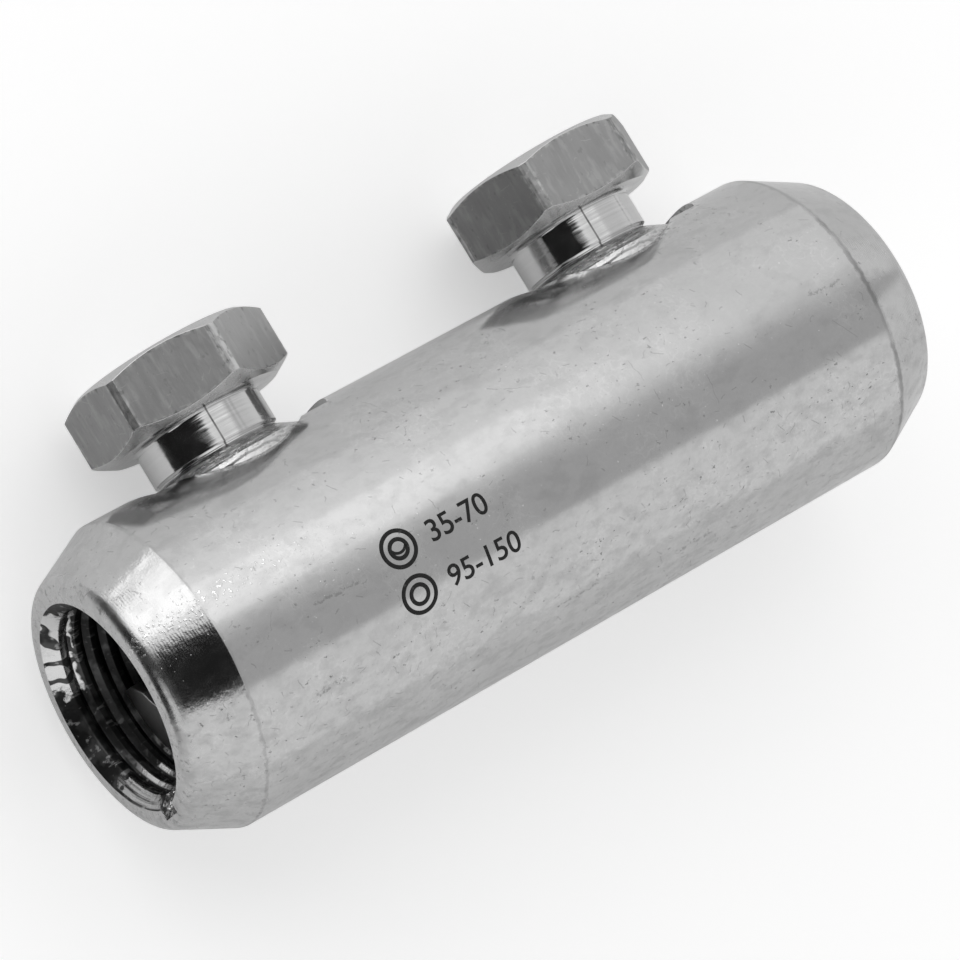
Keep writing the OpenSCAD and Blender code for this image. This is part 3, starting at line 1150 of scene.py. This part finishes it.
def bolt_line(turn, reach):
    """The bolt's profile at one angle, where its head reaches out to the given radius."""
    tip = rounded([
        (0, TIP_Z, 0), (THREAD_R - TIP_CHAMFER, TIP_Z, TIP_EDGE), (THREAD_R, TIP_Z + TIP_CHAMFER, 0)
    ])
    rest = rounded([
        (SHOULDER_TOP_R, SHEAR_Z, 0),
        (NECK_R - SHEAR_GROOVE_DEPTH, SHEAR_Z + SHEAR_GROOVE_WIDTH / 2, SHEAR_GROOVE_EDGE),
        (NECK_R, SHEAR_Z + SHEAR_GROOVE_WIDTH, SHEAR_GROOVE_EDGE),
        (NECK_R, FOOT_Z, NECK_FILLET),
        (FOOT_R, FOOT_Z, HEAD_EDGE),
        (reach, FOOT_Z + (reach - FOOT_R) * CHAMFER, HEAD_EDGE),
        (reach, TOP_Z - (reach - TOP_R) * CHAMFER, HEAD_EDGE),
        (TOP_R, TOP_Z, HEAD_EDGE),
        (0, TOP_Z, 0),
    ])
    return np.concatenate([tip[:-1], thread_rows(turn), layer_rows(turn)[1:], rest[1:]])


def bolt(name, x, turn):
    """A bolt on the bench at x, its head turned by an angle in degrees."""
    angles, reaches = hex_outline(turn)
    lines = np.array([bolt_line(a, r) for a, r in zip(angles, reaches)])
    radius, z = lines[:, 1:-1, 0].T, lines[:, 1:-1, 1].T
    rings = np.stack([x + radius * np.cos(angles), radius * np.sin(angles), z], 2)
    return bench_object(name, *closed_rings(rings, (x, 0, TIP_Z), (x, 0, TOP_Z)))


print("a bolt's line has", len(bolt_line(0, FLAT_R)), "points")

# %% [markdown]
# ## Two finishes on one bolt
# The head is hexagon bar: its flats are as drawn, satin, faintly streaked along the bolt, with rubs
# and scratches, most of them near the edges. What the lathe has touched since is brighter and has
# fine rings: the chamfers, the neck with the line that a tool has dragged along it, and the
# shoulder, which the last cut of the thread has torn.

# %% The drawn flats
DRAWN = 0.33
WORN = 0.55


def drawn_finish(name, x, turn, flat_sheen):
    """The flats of a head whose bolt stands at x, the right-hand one painted brighter by a share: a painted
    reflection.
    """
    finish, pen, place = bench_finish(name, x)
    along, beside, above = place.parts()
    radius = along.hypot(beside)
    streaks = noise(place, 1.0, 3.0, (2.4, 2.4, 0.14))
    clouds = noise(place, 0.45, 3.0)
    rubbed = noise(place, 2.2, 4.0, (1, 1, 0.6))
    to_top = TOP_Z - (radius - TOP_R) * CHAMFER - above
    to_foot = above - FOOT_Z - (radius - FOOT_R) * CHAMFER
    to_corner = (CORNER_R - radius) * 1.6
    to_edge = pen.math("MINIMUM", pen.math("MINIMUM", to_top, to_foot), to_corner)
    rim = to_edge.smooth(0.45, 0.05)
    degrees = beside.turn(along)
    # The right-hand flat, painted brighter by a share: a painted reflection.
    on_sheen_flat = abs(degrees - (turn - 60)).smooth(30.5, 29.5)
    around = degrees * math.radians(FLAT_R)
    flat = (around + rubbed * 0.8).by(above - rubbed * 0.6)
    hairs = scratches(flat, 0.8, 0.5, 1.1, 0.07) * clouds.smooth(0.42, 0.56)
    light_rubs = (rubbed + rim * 0.12).smooth(0.62, 0.72) * rim + hairs * 0.7
    light_streaks = noise(place, 0.8, 3.0, (1.8, 1.8, 0.5)).smooth(0.50, 0.68)
    dark_rubs = (rubbed - rim * 0.05).smooth(0.38, 0.28) * (0.3 + rim * 0.5)
    tone = 0.72 + streaks * 0.22 + clouds * 0.26 + light_streaks * 0.16 + on_sheen_flat * flat_sheen
    level = DRAWN * tone * (1 - dark_rubs * 0.5)
    level = level + light_rubs * 0.5 * (WORN - level)
    on_strip = radius.smooth(CORNER_R - 0.12, CORNER_R - 0.06)
    level = level + on_strip * streaks.smooth(0.42, 0.55) * 0.12
    gloss = 0.36 + streaks * 0.1 - light_rubs * 0.06 + on_strip * 0.16
    metal(pen, level, gloss, streaks * 0.008 + rubbed * 0.01)
    return finish


print("drawn flats", DRAWN, "worn to", WORN)

# %% The turned faces
BRIGHT = 0.62
DRAG_TURN = -12.5
DRAG_WIDTH = 0.12


def turned_finish(name, x):
    """The lathe-turned faces of a bolt that stands at x."""
    finish, pen, place = bench_finish(name, x)
    along, beside, above = place.parts()
    cuts = noise(along.hypot(beside).by(above), 3.2, 2.0)
    smears = noise(place, 0.7, 3.0)
    tears = noise(place, 1.5, 4.0, (1, 1, 2.2))
    on_head = above.smooth(FOOT_Z - 0.1, FOOT_Z + 0.1)
    on_tear = above.smooth(SHEAR_Z + 0.2, SHEAR_Z - 0.2)
    off_drag = abs((along.turn(beside * -1) - DRAG_TURN) * math.radians(NECK_R))
    drag = off_drag.smooth(DRAG_WIDTH, DRAG_WIDTH / 4) * (1 - on_head) * (1 - on_tear) * (smears + 0.3)
    level = BRIGHT * (0.88 + cuts * 0.14 + smears * 0.10 - drag * 0.9)
    level = level * (1 - on_tear * tears.smooth(0.44, 0.34) * 0.3)
    gloss = 0.10 + smears.smooth(0.4, 0.7) * 0.07 + on_head * 0.12 + on_tear * 0.16
    metal(pen, level, gloss, cuts * 0.014 + on_tear * tears * 0.12)
    return finish


print("turned faces", BRIGHT)

# %% Make the two bolts
# How much brighter each head's right-hand flat is painted: a painted reflection.
LEFT_FLAT_SHEEN = 0.5
RIGHT_FLAT_SHEEN = 0.0


def weigh_normals(piece):
    """Lets the wide faces of a piece set the normals at its small round edges."""
    weighted = piece.modifiers.new("weighted normals", "WEIGHTED_NORMAL")
    weighted.mode = "FACE_AREA"


bolts = (("left", -BOLT_X, LEFT_TURN, LEFT_FLAT_SHEEN), ("right", BOLT_X, RIGHT_TURN, RIGHT_FLAT_SHEEN))
for side, x, turn, flat_sheen in bolts:
    piece = bolt(side + "_shear_bolt", x, turn)
    normal, place = face_table(piece.data)
    wide = np.hypot(place[:, 0] - x, place[:, 1]) > NECK_R + 1
    is_drawn = wide & (place[:, 2] > FOOT_Z) & (np.abs(normal[:, 2]) < 0.2)
    flats = drawn_finish(side + "_bolt_drawn", x, turn, flat_sheen)
    finishes = [turned_finish(side + "_bolt_turned", x), flats]
    dress(piece, side + "_bolt", finishes, is_drawn.astype(int))
    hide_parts("shear_bolt_" + side)
    weigh_normals(piece)

# %% [markdown]
# ## The inserts
# A half-round bar with a saddle, two rims and a key along its foot. Its section is one closed line
# swept along the bore. The ends of the round back are chamfered and the key stops short of them.

# %% The section of an insert
INSERT_R = 8.4
SADDLE_R = 5.5
SADDLE_Z = 2.4
SADDLE_STEPS = 32
BACK_STEPS = 20
RIM_Z = 1.2
RIM_SLOPE_WIDTH = 1.6
RIM_SLOPE_HEIGHT = 1.1
KEY_HALF = 1.25
KEY_Z = -10.15


def insert_section(shrink, key):
    """The insert's section in (y, z): its back drawn in by shrink, its key there or flush."""
    back_r = INSERT_R - shrink
    slope_z = RIM_Z - RIM_SLOPE_HEIGHT
    slope_y = math.sqrt(SADDLE_R ** 2 - (SADDLE_Z - slope_z) ** 2)
    half_saddle = math.degrees(math.atan2(SADDLE_Z - slope_z, slope_y))
    saddle = arc((0, SADDLE_Z), SADDLE_R, -half_saddle, half_saddle - 180, SADDLE_STEPS)
    rim_turn = math.degrees(math.asin(RIM_Z / back_r))
    key_turn = math.degrees(math.asin(KEY_HALF / back_r))
    left_back = arc((0, 0), back_r, 180 - rim_turn, 270 - key_turn, BACK_STEPS)
    right_back = arc((0, 0), back_r, 270 + key_turn, 360 + rim_turn, BACK_STEPS)
    foot = KEY_Z if key else -math.sqrt(back_r ** 2 - KEY_HALF ** 2)
    return np.concatenate([
        [(slope_y + RIM_SLOPE_WIDTH, RIM_Z)],
        saddle,
        [(-slope_y - RIM_SLOPE_WIDTH, RIM_Z)],
        left_back,
        [(-KEY_HALF, foot), (KEY_HALF, foot)],
        right_back,
    ])


print("an insert's section has", len(insert_section(0, True)), "points")

# %% Make the two inserts
INSERT_START = 3.5
INSERT_END = 34.6
INSERT_CHAMFER = 0.4
INSERT_EDGE = 0.1
SHARP = math.radians(20)


def insert(name, side):
    """An insert on the bench: rings of its section, and a flat cap at each end."""
    stations = [
        (INSERT_START, INSERT_CHAMFER, False),
        (INSERT_START + INSERT_CHAMFER, 0, False),
        (INSERT_START + INSERT_CHAMFER, 0, True),
        (INSERT_END - INSERT_CHAMFER, 0, True),
        (INSERT_END - INSERT_CHAMFER, 0, False),
        (INSERT_END, INSERT_CHAMFER, False),
    ]
    sections = [(side * x, insert_section(shrink, key)) for x, shrink, key in stations]
    rings = np.array([np.insert(section, 0, x, axis=1) for x, section in sections])
    rows, columns, _ = rings.shape
    faces = ring_faces(rows, columns)
    faces += [list(range(columns)), list(range((rows - 1) * columns, rows * columns))]
    return bench_object(name, rings.reshape(-1, 3), faces)


insert_finish, pen, place = bench_finish("extruded_insert")
streaks = noise(place, 1.0, 3.0, (0.06, 3, 3))
clouds = noise(place, 0.3, 2.0)
metal(pen, 0.54 + streaks * 0.12 + clouds * 0.1, 0.26 + clouds * 0.15, streaks * 0.01)

for side, sign in (("left", -1), ("right", 1)):
    piece = insert(side + "_insert", sign)
    clean(piece.data)
    dress(piece, side + "_insert", [insert_finish])
    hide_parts("insert_" + side)
    edges = piece.modifiers.new("round edges", "BEVEL")
    edges.width = INSERT_EDGE * MM
    edges.segments = 2
    edges.limit_method = "ANGLE"
    edges.angle_limit = SHARP
    weigh_normals(piece)
